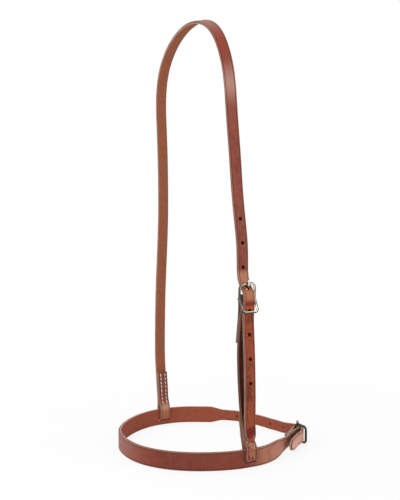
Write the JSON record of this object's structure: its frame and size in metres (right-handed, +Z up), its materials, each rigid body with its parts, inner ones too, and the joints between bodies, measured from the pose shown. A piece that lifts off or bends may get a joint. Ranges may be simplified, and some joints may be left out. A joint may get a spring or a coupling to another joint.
{
  "type": "bridle noseband",
  "caption": "Harness leather noseband: a flat muzzle band closed by a chin buckle and hung from a slim crown strap that buckles at the near cheek.",
  "frame": {"origin": "centre of the bounding box in plan, on the plane that the band's lower edge stands on", "axes": "+X from the nose to the chin buckle, +Y from the near side to the far side, +Z up along the hanger to the crown"},
  "size_m": [0.2129, 0.2174, 0.4809],
  "materials": {
    "noseband_leather": "oiled harness leather, smooth grain, pale cut edges",
    "crown_leather": "oiled harness leather, smooth grain, rough flesh side inside",
    "cheek_leather": "oiled harness leather, smooth grain, pale cut edges",
    "crown_buckle_nickel": "nickel plated wire, worn bright",
    "chin_buckle_nickel": "nickel plated wire, darker",
    "waxed_thread": "pale waxed linen thread"
  },
  "bodies": {
    "noseband": {"noseband_strap": "noseband_leather", "chin_chape_thread_lower": "waxed_thread", "chin_chape_thread_upper": "waxed_thread"},
    "hanger": {"crown_strap": "crown_leather", "cheek_strap": "cheek_leather", "crown_chape_thread_front": "waxed_thread", "crown_chape_thread_rear": "waxed_thread", "far_loop_thread_front": "waxed_thread", "far_loop_thread_rear": "waxed_thread", "near_loop_thread_front": "waxed_thread", "near_loop_thread_rear": "waxed_thread"},
    "crown_frame": {"crown_buckle_frame": "crown_buckle_nickel"},
    "crown_tongue": {"crown_buckle_tongue": "crown_buckle_nickel"},
    "chin_frame": {"chin_buckle_frame": "chin_buckle_nickel"},
    "chin_tongue": {"chin_buckle_tongue": "chin_buckle_nickel"}
  },
  "joints": [
    {"name": "hanger_rock", "type": "hinge", "parent": "noseband", "child": "hanger", "pos_m": [-0.0077, 0, 0.0083], "axis": [0, 1, 0], "range_deg": [-4, 4]},
    {"name": "crown_frame_roll", "type": "hinge", "parent": "hanger", "child": "crown_frame", "pos_m": [-0.0077, -0.0953, 0.17688], "axis": [1, 0, 0], "range_deg": [-2.5, 2.5]},
    {"name": "crown_tongue_lift", "type": "hinge", "parent": "crown_frame", "child": "crown_tongue", "pos_m": [-0.0077, -0.0953, 0.17688], "axis": [1, 0, 0], "range_deg": [0, 4]},
    {"name": "chin_frame_roll", "type": "hinge", "parent": "noseband", "child": "chin_frame", "pos_m": [0.0911, -0.0473, 0.01076], "axis": [0, 0, -1], "range_deg": [-2.5, 2.5]},
    {"name": "chin_tongue_lift", "type": "hinge", "parent": "chin_frame", "child": "chin_tongue", "pos_m": [0.0911, -0.0473, 0.01076], "axis": [0, 0, -1], "range_deg": [0, 4]}
  ]
}
